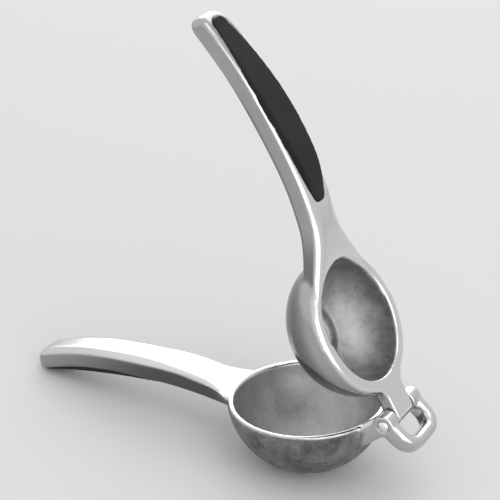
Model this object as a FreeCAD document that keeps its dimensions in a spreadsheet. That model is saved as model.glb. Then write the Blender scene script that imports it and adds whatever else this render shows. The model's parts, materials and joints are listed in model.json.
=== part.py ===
import FreeCAD, Part
import math
import os

import Sketcher
from FreeCAD import Rotation, Vector

# Two-lever citrus press. Both levers are drawn closed, with the bowl's axis on Z, its rim in the plane
# z = 0, the hinge towards +X and the handles towards -X. Their placements then stand the press open on
# the flat under the bowl and the tip of the lower handle. Millimetres and degrees.

DRIVING_SIZES = [
    ("bowl_radius", 33.0, "inside radius of the bowl at its rim"),
    ("bowl_depth", 29.5, "inside depth of the bowl"),
    ("bowl_wall", 3.0, "wall of the bowl at its rim"),
    ("bowl_floor", 4.0, "wall of the bowl at its lowest point"),
    ("lip_round", 1.2, "rounding of the bowl's rim"),
    ("foot_flat", 22.0, "diameter of the flat ground on the bowl's underside"),
    ("drain_bore", 4.0, "diameter of a juice hole"),
    ("drain_ring", 9.0, "radius of the ring of juice holes"),
    ("cup_rise", 7.6, "height of the cup's flat top over the bowl's rim, closed"),
    ("cup_radius", 26.0, "radius of the cup's opening"),
    ("cup_depth", 22.6, "depth of the cup's floor under its top"),
    ("pit_radius", 12.8, "radius of the pit in the cup's floor"),
    ("pit_depth", 4.0, "depth of the pit under the cup's floor"),
    ("plunger_radius", 32.0, "outside radius of the press cup"),
    ("plunger_wall", 2.9, "wall between the cup's floor and the face that presses the fruit"),
    ("plunger_nose", 15.0, "radius of the flatter nose of the press cup"),
    ("plunger_nose_rise", 1.8, "height of the flatter nose of the press cup"),
    ("pit_draft", 1.2, "how much narrower the pit is at its bottom, on the radius"),
    ("blend_gap", 0.3, "how far the necks' rings stay inside the rims that they run into"),
    ("neck_sink", 0.15, "how far the handles' tops run under the rim or the cup's top at their necks"),
    ("root_fall", 1.5, "how much further the lower handle's top falls inside the bowl's rim"),
    ("flange_depth", 3.2, "depth of the upright side under the cup's top"),
    ("flange_round", 2.8, "rounding of the edge round the cup's top"),
    ("lower_flare", 23.6, "length of the lower neck's flare"),
    ("upper_flare", 24.0, "length of the upper neck's flare"),
    ("lower_flare_angle", 38.0, "angle round the bowl's axis from the handle to the end of the lower flare"),
    ("upper_flare_angle", 54.0, "angle round the bowl's axis from the handle to the end of the upper flare"),
    ("lower_reach", 143.0, "distance of the lower handle's tip from the bowl's axis"),
    ("lower_crest_at", 80.0, "distance of the lower handle's highest point from the bowl's axis"),
    ("lower_crest_rise", 5.0, "height of the lower handle's highest point over the rim"),
    ("lower_tip_drop", 10.3, "fall of the lower handle's top from its highest point to its tip"),
    ("lower_neck_at", 38.0, "distance from the bowl's axis at which the lower handle is level with the rim"),
    ("lower_depth", 10.2, "depth of the lower handle's metal at its highest point"),
    ("lower_tip_depth", 10.1, "depth of the lower handle's metal at its tip"),
    ("lower_root_depth", 8.4, "depth of the lower handle's metal at its neck"),
    ("lower_bevel", 4.4, "width of the bevel beside the lower handle's top"),
    ("lower_bevel_drop", 2.0, "depth of the bevel beside the lower handle's top"),
    ("upper_reach", 145.3, "distance of the upper handle's tip from the bowl's axis"),
    ("upper_crest_at", 76.0, "distance of the upper handle's highest point from the bowl's axis"),
    ("upper_crest_rise", 10.4, "height of the upper handle's highest point over the cup's top"),
    ("upper_tip_drop", 9.0, "fall of the upper handle's top from its highest point to its tip"),
    ("upper_neck_at", 12.0, "distance from the bowl's axis at which the upper handle is level with the cup"),
    ("upper_depth", 9.4, "depth of the upper handle's metal at its highest point"),
    ("upper_tip_depth", 9.4, "depth of the upper handle's metal at its tip"),
    ("upper_root_depth", 12.7, "depth of the upper handle's metal at its neck"),
    ("upper_bevel", 2.4, "width of the bevel beside the upper grip"),
    ("upper_bevel_drop", 1.2, "depth of the bevel beside the upper grip"),
    ("handle_width", 20.6, "width of a handle across its ridges"),
    ("tip_width", 17.6, "width of a handle near its tip"),
    ("side_taper", 1.2, "how much narrower a handle is on each side below its ridges"),
    ("tip_round", 7.0, "length over which a handle's end is rounded"),
    ("ridge_round", 1.2, "rounding of a handle's ridges"),
    ("belly_round", 1.8, "rounding of a handle's lower edges"),
    ("grip_start", 58.3, "distance of a grip's inner end from the bowl's axis"),
    ("grip_end", 138.5, "distance of a grip's outer end from the bowl's axis"),
    ("grip_width", 16.0, "width of a grip at its middle"),
    ("grip_inner_width", 9.0, "width of a grip at its inner end"),
    ("grip_outer_width", 9.0, "width of a grip at its outer end"),
    ("grip_inlay", 2.0, "depth of a grip's bed in the handle"),
    ("lower_grip_crown", 1.0, "height of the lower grip's crown over the handle's metal"),
    ("upper_grip_crown", 2.6, "height of the upper grip's crown over the handle's metal"),
    ("lower_grip_end", 1.35, "height of the lower grip's outer end over the handle's metal"),
    ("upper_grip_end", 0.3, "height of the upper grip's outer end over the handle's metal"),
    ("grip_proud", 0.3, "height of a grip's inner end over the handle's metal"),
    ("grip_seam", 0.15, "seam round a grip"),
    ("pin_at", 43.4, "distance of the hinge pin from the bowl's axis"),
    ("pin_height", 3.2, "height of the hinge pin over the bowl's rim"),
    ("pin_diameter", 5.0, "diameter of the hinge pin"),
    ("pin_dome", 1.0, "height of the domed ends of the hinge pin"),
    ("pin_play", 0.05, "running clearance of the tongue on the pin, on the radius"),
    ("yoke_width", 31.0, "width over both hinge arms"),
    ("tongue_width", 14.8, "width of the hinge tongue"),
    ("tongue_gap", 0.4, "gap between the tongue and each arm"),
    ("tongue_depth", 6.4, "depth of the tongue's root under the cup's top"),
    ("tongue_knuckle", 4.3, "radius of the tongue's rounded end round the pin"),
    ("tongue_round", 0.8, "rounding of the tongue's edges"),
    ("tongue_flare", 6.0, "radius of the tongue's flare into the cup's side, in plan"),
    ("knuckle_radius", 4.7, "radius of an arm's eye round the pin"),
    ("arm_height", 8.6, "height of an arm's section"),
    ("arm_round", 2.6, "rounding of an arm's section"),
    ("arm_rise_angle", 37.0, "slope at which the arms climb from the bowl to the pin"),
    ("arm_rise_length", 20.0, "length of an arm from the pin down into the bowl's wall"),
    ("loop_fall_angle", 41.0, "slope at which the loop falls away beyond the pin"),
    ("loop_length", 15.0, "length from the pin to the middle of the loop's end bar"),
    ("loop_bar", 5.8, "width of the loop's bar"),
    ("loop_corner", 7.5, "radius of the loop's bend, on the middle of its bar"),
    ("open_angle", 62.0, "angle between the levers as the press stands"),
]

# Plain ratios and counts: juice holes in the ring, how far a grip's end bulges against a half circle, how
# much longer a cutting tool is than what it cuts, how tall a grip's uncut column is in handle widths, and
# how far the cup's mouth widens with height where it cuts into the neck.
DRAIN_COUNT = 6
END_SWELL = 1.05
THROUGH = 2
COLUMN_WIDTHS = 4
MOUTH_SLOPE = 0.45
# A turn that only sets the axis: an expression then drives the angle.
ANY_TURN = 10
TINY = 1e-6

DERIVED_SIZES = [
    ("bowl_outer", "=bowl_radius + bowl_wall"),
    ("bowl_bottom", "=bowl_depth + bowl_floor"),
    ("dome_rise", "=(bowl_outer^2 - bowl_bottom^2) / (2 * bowl_bottom)"),
    ("dome_radius", "=bowl_bottom + dome_rise"),
    ("hollow_radius", "=(bowl_radius^2 + bowl_depth^2) / (2 * bowl_depth)"),
    ("foot_offset", "=sqrt(dome_radius^2 - foot_flat^2 / 4)"),
    ("lower_tip_z", "=lower_crest_rise - lower_tip_drop - lower_tip_depth"),
    ("rest_run", "=lower_reach - tip_round / 2"),
    ("rest_fall", "=dome_rise - lower_tip_z"),
    ("rest_tilt", "=asin(foot_offset / hypot(rest_run; rest_fall)) - atan(rest_fall / rest_run)"),
    ("lower_x", "=dome_rise * sin(rest_tilt)"),
    ("lower_z", "=foot_offset - dome_rise * cos(rest_tilt)"),
    ("pin_x", "=lower_x + pin_at * cos(rest_tilt) - pin_height * sin(rest_tilt)"),
    ("pin_z", "=lower_z + pin_at * sin(rest_tilt) + pin_height * cos(rest_tilt)"),
    ("upper_turn", "=open_angle * 1deg - rest_tilt"),
    ("upper_x", "=pin_x - pin_at * cos(upper_turn) - pin_height * sin(upper_turn)"),
    ("upper_z", "=pin_z + pin_at * sin(upper_turn) - pin_height * cos(upper_turn)"),
    ("arm_width", "=(yoke_width - tongue_width) / 2 - tongue_gap"),
    ("arm_inner", "=yoke_width / 2 - arm_width"),
    ("bar_middle", "=(yoke_width - loop_bar) / 2"),
    ("grip_length", "=grip_end - grip_start"),
    ("grip_bulge", "=(2 * grip_width - grip_inner_width - grip_outer_width) / 4"),
    ("grip_side_radius", "=(grip_length^2 / 4 + grip_bulge^2) / (2 * grip_bulge)"),
    ("plunger_bottom", "=cup_rise - cup_depth - pit_depth - plunger_wall"),
    ("plunger_nose_radius", "=(plunger_nose^2 + plunger_nose_rise^2) / (2 * plunger_nose_rise)"),
    ("hollow_rise", "=hollow_radius - bowl_depth"),
    ("lip_outer", "=sqrt(dome_radius^2 - (lip_round + dome_rise)^2)"),
    ("lip_inner", "=sqrt(hollow_radius^2 - (lip_round + hollow_rise)^2)"),
    ("skirt_z", "=cup_rise - flange_depth"),
    ("tongue_under", "=cup_rise - tongue_depth"),
    ("nose_z", "=plunger_bottom + plunger_nose_rise"),
    ("plunger_run", "=plunger_radius - plunger_nose"),
    ("plunger_side_radius", "=(plunger_run^2 + (skirt_z - nose_z)^2) / (2 * plunger_run)"),
    ("cup_run", "=cup_radius - pit_radius"),
    ("cup_side_radius", "=(cup_run^2 + (cup_depth - lip_round)^2) / (2 * cup_run)"),
    ("lower_ring", "=lip_outer - blend_gap"),
    ("upper_ring", "=plunger_radius - blend_gap"),
    ("lower_root_at", "=lower_ring * cos(lower_flare_angle)"),
    ("upper_root_at", "=upper_ring * cos(upper_flare_angle)"),
    ("lower_root_half", "=lower_ring * sin(lower_flare_angle)"),
    ("upper_root_half", "=upper_ring * sin(upper_flare_angle)"),
    ("lower_gain", "=lower_root_half - handle_width / 2"),
    ("upper_gain", "=upper_root_half - handle_width / 2"),
    ("lower_bend", "=lower_flare / lower_gain * lower_root_at / lower_root_half"),
    ("upper_bend", "=upper_flare / upper_gain * upper_root_at / upper_root_half"),
]

doc = FreeCAD.newDocument("citrus_press")
sheet = doc.addObject("Spreadsheet::Sheet", "Sizes")
for row, (alias, value, note) in enumerate(DRIVING_SIZES, start=1):
    sheet.set(f"A{row}", note)
    sheet.set(f"B{row}", str(value))
    sheet.setAlias(f"B{row}", alias)
for row, (alias, formula) in enumerate(DERIVED_SIZES, start=1):
    sheet.setAlias(f"D{row}", alias)
doc.recompute()
for row, (alias, formula) in enumerate(DERIVED_SIZES, start=1):
    sheet.set(f"D{row}", formula)
    doc.recompute()


def number(expression):
    """The value that an expression on the sheet has now."""
    result = sheet.evalExpression(expression)
    return float(getattr(result, "Value", result))


def size(alias):
    """An expression that reads one cell of the sheet."""
    return f"Sizes.{alias}"


def new_body(label):
    body = doc.addObject("PartDesign::Body", label)
    body.Label = label
    return body


def new_sketch(body, name, role):
    """A sketch on one of the body's own origin planes."""
    sketch = body.newObject("Sketcher::SketchObject", name)
    plane = next(item for item in body.Origin.OriginFeatures if item.Role == role)
    sketch.AttachmentSupport = [(plane, "")]
    sketch.MapMode = "FlatFace"
    return sketch


def constrain(sketch, rules):
    """Adds constraints, each with the expression that drives it or None."""
    indices = sketch.addConstraint([rule for rule, _ in rules])
    for index, (_, expression) in zip(indices, rules):
        if expression:
            sketch.setExpression(f"Constraints[{index}]", expression)


def corner_rules(geometry, position, x, y):
    """Rules that tie one point of a sketch to two expressions."""
    rules = []
    for kind, axis, expression in (("DistanceX", -2, x), ("DistanceY", -1, y)):
        if expression == "0":
            rules.append((Sketcher.Constraint("PointOnObject", geometry, position, axis), None))
        else:
            distance = Sketcher.Constraint(kind, -1, 1, geometry, position, number(expression))
            rules.append((distance, expression))
    return rules


def radius_rule(geometry, expression):
    return (Sketcher.Constraint("Radius", geometry, number(expression)), expression)


def link_rule(kind, *ends):
    return (Sketcher.Constraint(kind, *ends), None)


def arc_between(start, end, radius, turn):
    """The shorter arc from start to end, turning left (+1) or right (-1)."""
    chord = end - start
    across = Vector(-chord.y, chord.x, 0).normalize() * turn
    centre = start + chord * 0.5 + across * math.sqrt(radius**2 - chord.Length**2 / 4)
    first, last = (start, end) if turn > 0 else (end, start)
    angles = [math.atan2(point.y - centre.y, point.x - centre.x) for point in (first, last)]
    if angles[1] < angles[0]:
        angles[1] += 2 * math.pi
    return Part.ArcOfCircle(Part.Circle(centre, Vector(0, 0, 1), radius), *angles)


def draw_runs(sketch, corners, closed):
    """Straight runs and arcs. Each corner is x, y and, where an arc leaves it, the arc's radius and turn."""
    places = [Vector(number(corner[0]), number(corner[1]), 0) for corner in corners]
    count = len(corners) if closed else len(corners) - 1
    runs = []
    rules = []
    for index in range(count):
        corner = corners[index]
        start, end = places[index], places[(index + 1) % len(places)]
        turn = 1
        if len(corner) == 2:
            geometry = sketch.addGeometry(Part.LineSegment(start, end))
        else:
            turn = corner[3]
            geometry = sketch.addGeometry(arc_between(start, end, number(corner[2]), turn))
            rules.append(radius_rule(geometry, corner[2]))
        runs.append((geometry, 1, 2) if turn > 0 else (geometry, 2, 1))
        rules += corner_rules(*runs[-1][:2], corner[0], corner[1])
    followers = runs[1:] + runs[:1] if closed else runs[1:]
    for (geometry, _, last), (follower, first, _) in zip(runs, followers):
        rules.append(link_rule("Coincident", geometry, last, follower, first))
    if not closed:
        rules += corner_rules(runs[-1][0], runs[-1][2], corners[-1][0], corners[-1][1])
    constrain(sketch, rules)
    return sketch


def draw_profile(sketch, corners):
    return draw_runs(sketch, corners, closed=True)


def draw_path(sketch, corners):
    return draw_runs(sketch, corners, closed=False)


def draw_circle(sketch, x, y, radius):
    centre = Vector(number(x), number(y), 0)
    geometry = sketch.addGeometry(Part.Circle(centre, Vector(0, 0, 1), number(radius)))
    constrain(sketch, corner_rules(geometry, 3, x, y) + [radius_rule(geometry, radius)])
    return sketch


def draw_rounded(sketch, corners):
    """A closed convex profile, anticlockwise, with each corner (x, y, radius) rounded by a tangent arc."""
    places = [Vector(number(x), number(y), 0) for x, y, _ in corners]
    count = len(corners)
    rounds = []
    for index, (_, _, radius) in enumerate(corners):
        back = (places[index - 1] - places[index]).normalize()
        ahead = (places[(index + 1) % count] - places[index]).normalize()
        half = back.getAngle(ahead) / 2
        setback = number(radius) / math.tan(half)
        rounds.append((places[index] + back * setback, places[index] + ahead * setback))
    lines, arcs = [], []
    for index, (start, end) in enumerate(rounds):
        lines.append(sketch.addGeometry(Part.LineSegment(rounds[index - 1][1], start)))
        arcs.append(sketch.addGeometry(arc_between(start, end, number(corners[index][2]), 1)))
    rules = []
    for index, (x, y, radius) in enumerate(corners):
        corner = sketch.addGeometry(Part.Point(places[index]), True)
        following = lines[(index + 1) % count]
        rules += corner_rules(corner, 1, x, y)
        rules.append(link_rule("PointOnObject", corner, 1, lines[index]))
        rules.append(link_rule("PointOnObject", corner, 1, following))
        rules.append(link_rule("Tangent", lines[index], 2, arcs[index], 1))
        rules.append(link_rule("Tangent", arcs[index], 2, following, 1))
        rules.append(radius_rule(arcs[index], radius))
    constrain(sketch, rules)
    return sketch


def revolve(body, sketch, name, role="Z_Axis"):
    """A full turn of a half profile about one of the body's own axes."""
    feature = body.newObject("PartDesign::Revolution", name)
    feature.Profile = sketch
    axis = next(item for item in body.Origin.OriginFeatures if item.Role == role)
    feature.ReferenceAxis = (axis, [""])
    feature.Angle = 360
    return feature


def pad(body, sketch, name, length, midplane=False, reverse=False):
    feature = body.newObject("PartDesign::Pad", name)
    feature.Profile = sketch
    feature.setExpression("Length", length)
    feature.Midplane = midplane
    feature.Reversed = reverse
    return feature


def loft(body, sketches, name):
    feature = body.newObject("PartDesign::AdditiveLoft", name)
    feature.Profile = sketches[0]
    feature.Sections = sketches[1:]
    feature.Ruled = False
    return feature


def round_edges(body, base, name, radius, chosen):
    """Rounds those edges of a feature that the test chosen picks out."""
    doc.recompute()
    names = [f"Edge{index}" for index, edge in enumerate(base.Shape.Edges, start=1) if chosen(edge)]
    feature = body.newObject("PartDesign::Fillet", name)
    feature.Base = (base, names)
    feature.setExpression("Radius", radius)
    return feature


def fuse(name, pieces):
    feature = doc.addObject("Part::MultiFuse", name)
    feature.Shapes = pieces
    return feature


def cut(label, base, tool):
    feature = doc.addObject("Part::Cut", label)
    feature.Base = base
    feature.Tool = tool
    feature.Label = label
    return feature


def set_down(piece, which):
    """Stands a piece of the lower or upper lever where the press stands open."""
    turn = f"-{size('rest_tilt')}" if which == "lower" else size("upper_turn")
    piece.Placement.Rotation = Rotation(Vector(0, 1, 0), ANY_TURN)
    piece.setExpression(".Placement.Rotation.Angle", turn)
    piece.setExpression(".Placement.Base.x", size(f"{which}_x"))
    piece.setExpression(".Placement.Base.z", size(f"{which}_z"))


# Handles
# A handle is lofted through six-sided sections: a flat top, a bevel down to a ridge on each side, sides
# that taper and a flat underside. Its top falls from its crest to its tip on one side and down to the rim
# or the cup's top on the other, where its sides flare out until they run along the rim.

TIP_SHARES = [0.34, 0.66]
NECK_SHARES = {
    "lower": [0.26, 0.48, 0.68, 0.84, 1.0],
    "upper": [0.2, 0.36, 0.48, 0.59, 0.68, 0.77, 0.88, 1.0],
}
ROOT_SHARES = {"lower": [0.5, 1.0], "upper": []}
TIP_ROUNDING = [(0.0, 0.36), (0.05, 0.52), (0.16, 0.71), (0.36, 0.87), (0.64, 0.97), (1.0, 1.0)]
TIP_FALL_POWER = 2.5
NECK_FALL = {"lower": (2, 1.15), "upper": (2.2, 1.6)}
NECK_DEPTH_POWER = {"lower": 1.5, "upper": 1.6}
NECK_BEVEL = {"lower": (0.2, 0.2), "upper": (1.1, 2.2)}
BELLY_FLARE_SHARE = {"lower": 0.0, "upper": 0.5}
TOP_ROUND_SHARE = 0.8


def lever_base(which):
    return "0" if which == "lower" else size("cup_rise")


def tip_top(which, share):
    """Height of a handle's top between its crest (share 0) and its tip (share 1)."""
    crest = f"{lever_base(which)} + {size(which + '_crest_rise')}"
    return f"({crest} - {size(which + '_tip_drop')} * ({share})^{TIP_FALL_POWER})"


def tip_depth(which, share):
    mid, tip = size(which + "_depth"), size(which + "_tip_depth")
    return f"({mid} + ({tip} - {mid}) * ({share})^2)"


def neck_top(which, share):
    """Height of a handle's top between its crest (share 0) and its neck (share 1)."""
    inner, outer = NECK_FALL[which]
    rise = f"{size(which + '_crest_rise')} * (1 - ({share})^{inner})^{outer}"
    return f"({lever_base(which)} + {rise} - {size('neck_sink')} * ({share})^2)"


def neck_depth(which, share):
    mid, root = size(which + "_depth"), size(which + "_root_depth")
    return f"({mid} + ({root} - {mid}) * ({share})^{NECK_DEPTH_POWER[which]})"


def flared_half(which, at):
    """Half the width of a neck across its ridges, at a distance from the bowl's axis.

    The flare's power is such that it ends along the ring that it runs into, and then it follows the ring.
    """
    length, bend = size(f"{which}_flare"), size(f"{which}_bend")
    root, ring = size(f"{which}_root_at"), size(f"{which}_ring")
    share = f"(max(0; {root} + {length} - {at}) / {length})"
    flare = f"{size('handle_width')} / 2 + {size(which + '_gain')} * {share}^{bend}"
    return f"({at} < {root} ? sqrt(max(0; {ring}^2 - ({at})^2)) : {flare})"


def handle_section(body, which, name, at, heights, widths, bevel, scale):
    """One section of a handle across X, drawn round the middle of its depth."""
    top, depth = heights
    half, belly_half = widths
    bevel_share, drop_share = bevel
    sketch = new_sketch(body, name, "YZ_Plane")
    sketch.setExpression(".AttachmentOffset.Base.z", f"-({at})")
    middle = f"({top} - {depth} / 2)"
    ridge = f"({half} * {scale})"
    flat = f"(({half} - {size(which + '_bevel')} * {bevel_share}) * {scale})"
    belly = f"({belly_half} * {scale})"
    upper = f"({middle} + {depth} / 2 * {scale})"
    shoulder = f"({middle} + ({depth} / 2 - {size(which + '_bevel_drop')} * {drop_share}) * {scale})"
    lower = f"({middle} - {depth} / 2 * {scale})"
    ridge_round = f"({size('ridge_round')} * {bevel_share} * {scale})"
    belly_round = f"({size('belly_round')} * {scale})"
    top_round = f"({size(which + '_bevel')} * {bevel_share} * {scale} * {TOP_ROUND_SHARE})"
    return draw_rounded(sketch, [
        (flat, upper, top_round),
        (f"-{flat}", upper, top_round),
        (f"-{ridge}", shoulder, ridge_round),
        (f"-{belly}", lower, belly_round),
        (belly, lower, belly_round),
        (ridge, shoulder, ridge_round),
    ])


def make_handle(which):
    """A lever's handle from its tip to its root inside the rim of the bowl or cup."""
    body = new_body(f"{which}_handle")
    reach, crest = size(f"{which}_reach"), size(f"{which}_crest_at")
    neck, root = size(f"{which}_neck_at"), size(f"{which}_root_at")
    width, tip_width = size("handle_width"), size("tip_width")
    taper = size("side_taper")
    stations = []
    for share, scale in TIP_ROUNDING:
        at = f"({reach} - {size('tip_round')} * {share})"
        stations.append((at, f"(({at} - {crest}) / ({reach} - {crest}))", scale))
    for share in reversed(TIP_SHARES):
        stations.append((f"({crest} + ({reach} - {crest}) * {share})", share, 1))
    sections = []
    for order, (at, share, scale) in enumerate(stations):
        half = f"(({width} + ({tip_width} - {width}) * ({share})^2) / 2)"
        sections.append(handle_section(body, which, f"{which}_tip_{order}", at,
                                       (tip_top(which, share), tip_depth(which, share)),
                                       (half, f"({half} - {taper})"), (1, 1), scale))
    shares = [0.0] + NECK_SHARES[which]
    stations = [(f"({crest} + ({neck} - {crest}) * {share})", share, 0) for share in shares]
    stations += [(f"({neck} + ({root} - {neck}) * {share})", 1.0, share) for share in ROOT_SHARES[which]]
    for order, (at, share, inside) in enumerate(stations):
        half = flared_half(which, at)
        belly = f"({width} / 2 + ({half} - {width} / 2) * {BELLY_FLARE_SHARE[which]} - {taper})"
        bevel = [1 + (end - 1) * share for end in NECK_BEVEL[which]]
        sections.append(handle_section(body, which, f"{which}_neck_{order}", at,
                                       (f"({neck_top(which, share)} - {size('root_fall')} * {inside})",
                                        neck_depth(which, share)),
                                       (half, belly), bevel, 1))
    doc.recompute()
    loft(body, sections, f"{which}_handle_loft")
    return body


# Bowl, hinge and cup

def make_bowl():
    """The bowl's outside: part of a ball, with a rounded rim and a flat to stand on."""
    body = new_body("bowl")
    lip = size("lip_round")
    profile = draw_profile(new_sketch(body, "bowl_profile", "XZ_Plane"), [
        ("0", "0"),
        (f"{size('lip_outer')} - {lip}", "0", lip, -1),
        (size("lip_outer"), f"-{lip}", size("dome_radius"), -1),
        ("0", f"-{size('bowl_bottom')}"),
    ])
    revolve(body, profile, "bowl_turned")
    along = size("foot_flat")
    normal = (f"sin({size('rest_tilt')})", f"cos({size('rest_tilt')})")
    foot_x = f"(-{size('foot_offset')} * {normal[0]})"
    foot_z = f"({size('dome_rise')} - {size('foot_offset')} * {normal[1]})"
    under = size("bowl_floor")
    below = new_sketch(body, "foot_profile", "XZ_Plane")
    draw_profile(below, [
        (f"{foot_x} + {along} * {normal[1]}", f"{foot_z} - {along} * {normal[0]}"),
        (f"{foot_x} - {along} * {normal[1]}", f"{foot_z} + {along} * {normal[0]}"),
        (f"{foot_x} - {along} * {normal[1]} - {under} * {normal[0]}",
         f"{foot_z} + {along} * {normal[0]} - {under} * {normal[1]}"),
        (f"{foot_x} + {along} * {normal[1]} - {under} * {normal[0]}",
         f"{foot_z} - {along} * {normal[0]} - {under} * {normal[1]}"),
    ])
    foot = body.newObject("PartDesign::Pocket", "foot_cut")
    foot.Profile = below
    foot.Midplane = True
    foot.setExpression("Length", f"{THROUGH} * {size('bowl_outer')}")
    return body


def make_bowl_hollow():
    """What is taken out of the lower casting: the bowl's inside and its juice holes."""
    body = new_body("bowl_hollow")
    lip = size("lip_round")
    profile = draw_profile(new_sketch(body, "hollow_profile", "XZ_Plane"), [
        ("0", size("bowl_depth")),
        ("0", f"-{size('bowl_depth')}", size("hollow_radius"), 1),
        (size("lip_inner"), f"-{lip}", lip, -1),
        (f"{size('lip_inner')} + {lip}", "0"),
        (f"{size('lip_inner')} + {lip}", size("bowl_depth")),
    ])
    revolve(body, profile, "hollow_turned")
    centre = new_sketch(body, "drain_centre", "XY_Plane")
    draw_circle(centre, "0", "0", f"{size('drain_bore')} / 2")
    pad(body, centre, "drain_middle", f"{THROUGH} * {size('bowl_bottom')}", reverse=True)
    ring = new_sketch(body, "drain_side", "XY_Plane")
    draw_circle(ring, size("drain_ring"), "0", f"{size('drain_bore')} / 2")
    first = pad(body, ring, "drain_first", f"{THROUGH} * {size('bowl_bottom')}", reverse=True)
    doc.recompute()
    pattern = body.newObject("PartDesign::PolarPattern", "drain_pattern")
    pattern.Originals = [first]
    axis = next(item for item in body.Origin.OriginFeatures if item.Role == "Z_Axis")
    pattern.Axis = (axis, [""])
    pattern.Angle = 360
    pattern.Occurrences = DRAIN_COUNT
    body.Tip = pattern
    return body


def arm_section(body, name, turn, side, inner, outer):
    """The rounded section of one hinge arm between two distances from the middle, square to a slope."""
    sketch = new_sketch(body, name, "YZ_Plane")
    sketch.AttachmentOffset.Rotation = Rotation(Vector(1, 0, 0), ANY_TURN)
    sketch.setExpression(".AttachmentOffset.Base.y", size("pin_height"))
    sketch.setExpression(".AttachmentOffset.Base.z", size("pin_at"))
    sketch.setExpression(".AttachmentOffset.Rotation.Angle", turn)
    left, right = (inner, outer) if side > 0 else (f"-{outer}", f"-{inner}")
    half = f"({size('arm_height')} / 2)"
    corner = size("arm_round")
    return draw_rounded(sketch, [
        (left, f"-{half}", corner),
        (right, f"-{half}", corner),
        (right, half, corner),
        (left, half, corner),
    ])


def is_level_arc(edge):
    return isinstance(edge.Curve, Part.Circle) and edge.BoundBox.ZLength < TINY


def is_flank(edge):
    """Whether an edge runs along the tongue's side, from its root and round its end."""
    box = edge.BoundBox
    return box.YLength < TINY and box.XMax > number(size("cup_radius")) + TINY


def make_yoke():
    """Two arms that climb from the bowl to the pin and fall away into a closed loop."""
    body = new_body("yoke")
    inner, outer = size("arm_inner"), f"({size('yoke_width')} / 2)"
    for name, side in (("near", -1), ("far", 1)):
        section = arm_section(body, f"{name}_arm_section", f"-{size('arm_rise_angle')}", side, inner, outer)
        pad(body, section, f"{name}_arm", size("arm_rise_length"), reverse=True)
    path = new_sketch(body, "loop_path", "XY_Plane")
    path.AttachmentOffset.Rotation = Rotation(Vector(0, 1, 0), ANY_TURN)
    path.setExpression(".AttachmentOffset.Base.x", size("pin_at"))
    path.setExpression(".AttachmentOffset.Base.z", size("pin_height"))
    path.setExpression(".AttachmentOffset.Rotation.Angle", size("loop_fall_angle"))
    length, middle, corner = size("loop_length"), size("bar_middle"), size("loop_corner")
    draw_path(path, [
        ("0", f"-{middle}"),
        (f"{length} - {corner}", f"-{middle}", corner, 1),
        (length, f"-{middle} + {corner}"),
        (length, f"{middle} - {corner}", corner, 1),
        (f"{length} - {corner}", middle),
        ("0", middle),
    ])
    bar_inner = f"({size('yoke_width')} / 2 - {size('loop_bar')})"
    section = arm_section(body, "loop_section", size("loop_fall_angle"), -1, bar_inner, outer)
    doc.recompute()
    pipe = body.newObject("PartDesign::AdditivePipe", "loop_bar")
    pipe.Profile = section
    pipe.Spine = (path, [f"Edge{index}" for index in range(1, len(path.Shape.Edges) + 1)])
    pipe.Transition = "Transformed"
    for name, side in (("near", -1), ("far", 1)):
        eye = new_sketch(body, f"{name}_eye_circle", "XZ_Plane")
        start = outer if side < 0 else f"-{inner}"
        eye.setExpression(".AttachmentOffset.Base.z", f"{start} - {size('arm_width')}")
        draw_circle(eye, size("pin_at"), size("pin_height"), size("knuckle_radius"))
        pad(body, eye, f"{name}_eye", size("arm_width"))
    return body


def make_tongue():
    """The hinge tongue, level with the cup's top, with its rounded end round the pin."""
    body = new_body("tongue")
    knuckle = size("tongue_knuckle")
    at, height = size("pin_at"), size("pin_height")
    root, under = size("cup_radius"), size("tongue_under")
    back = f"sqrt({knuckle}^2 - ({height} - {under})^2)"
    profile = draw_profile(new_sketch(body, "tongue_profile", "XZ_Plane"), [
        (root, f"{height} + {knuckle}"),
        (at, f"{height} + {knuckle}", knuckle, -1),
        (f"{at} + {knuckle}", height, knuckle, -1),
        (at, f"{height} - {knuckle}", knuckle, -1),
        (f"{at} - {back}", under),
        (root, under),
    ])
    plate = pad(body, profile, "tongue_plate", size("tongue_width"), midplane=True)
    round_edges(body, plate, "tongue_edges", size("tongue_round"), is_flank)
    return body


def make_tongue_root():
    """The plate that spreads the tongue into the cup's side."""
    body = new_body("tongue_root")
    ring, radius, half = size("upper_ring"), size("tongue_flare"), f"({size('tongue_width')} / 2)"
    reach = f"sqrt(({ring} + {radius})^2 - ({half} + {radius})^2)"
    touch_x = f"({reach} * {ring} / ({ring} + {radius}))"
    touch_y = f"(({half} + {radius}) * {ring} / ({ring} + {radius}))"
    plan = new_sketch(body, "tongue_root_plan", "XY_Plane")
    plan.setExpression(".AttachmentOffset.Base.z", size("tongue_under"))
    draw_profile(plan, [
        (touch_x, f"-{touch_y}", radius, -1),
        (reach, f"-{half}"),
        (reach, half, radius, -1),
        (touch_x, touch_y),
    ])
    thick = f"{size('pin_height')} + {size('tongue_knuckle')} - {size('tongue_under')}"
    plate = pad(body, plan, "tongue_root_plate", thick)
    round_edges(body, plate, "tongue_root_edges", size("tongue_round"), is_level_arc)
    return body


def make_plunger():
    """The press cup's outside: an upright side, a bulging wall and a flatter nose that presses the fruit."""
    body = new_body("plunger")
    rounding = size("flange_round")
    radius = size("plunger_radius")
    profile = draw_profile(new_sketch(body, "plunger_profile", "XZ_Plane"), [
        ("0", size("cup_rise")),
        (f"{radius} - {rounding}", size("cup_rise"), rounding, -1),
        (radius, f"{size('cup_rise')} - {rounding}"),
        (radius, size("skirt_z"), size("plunger_side_radius"), -1),
        (size("plunger_nose"), size("nose_z"), size("plunger_nose_radius"), -1),
        ("0", size("plunger_bottom")),
    ])
    revolve(body, profile, "plunger_turned")
    return body


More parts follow.
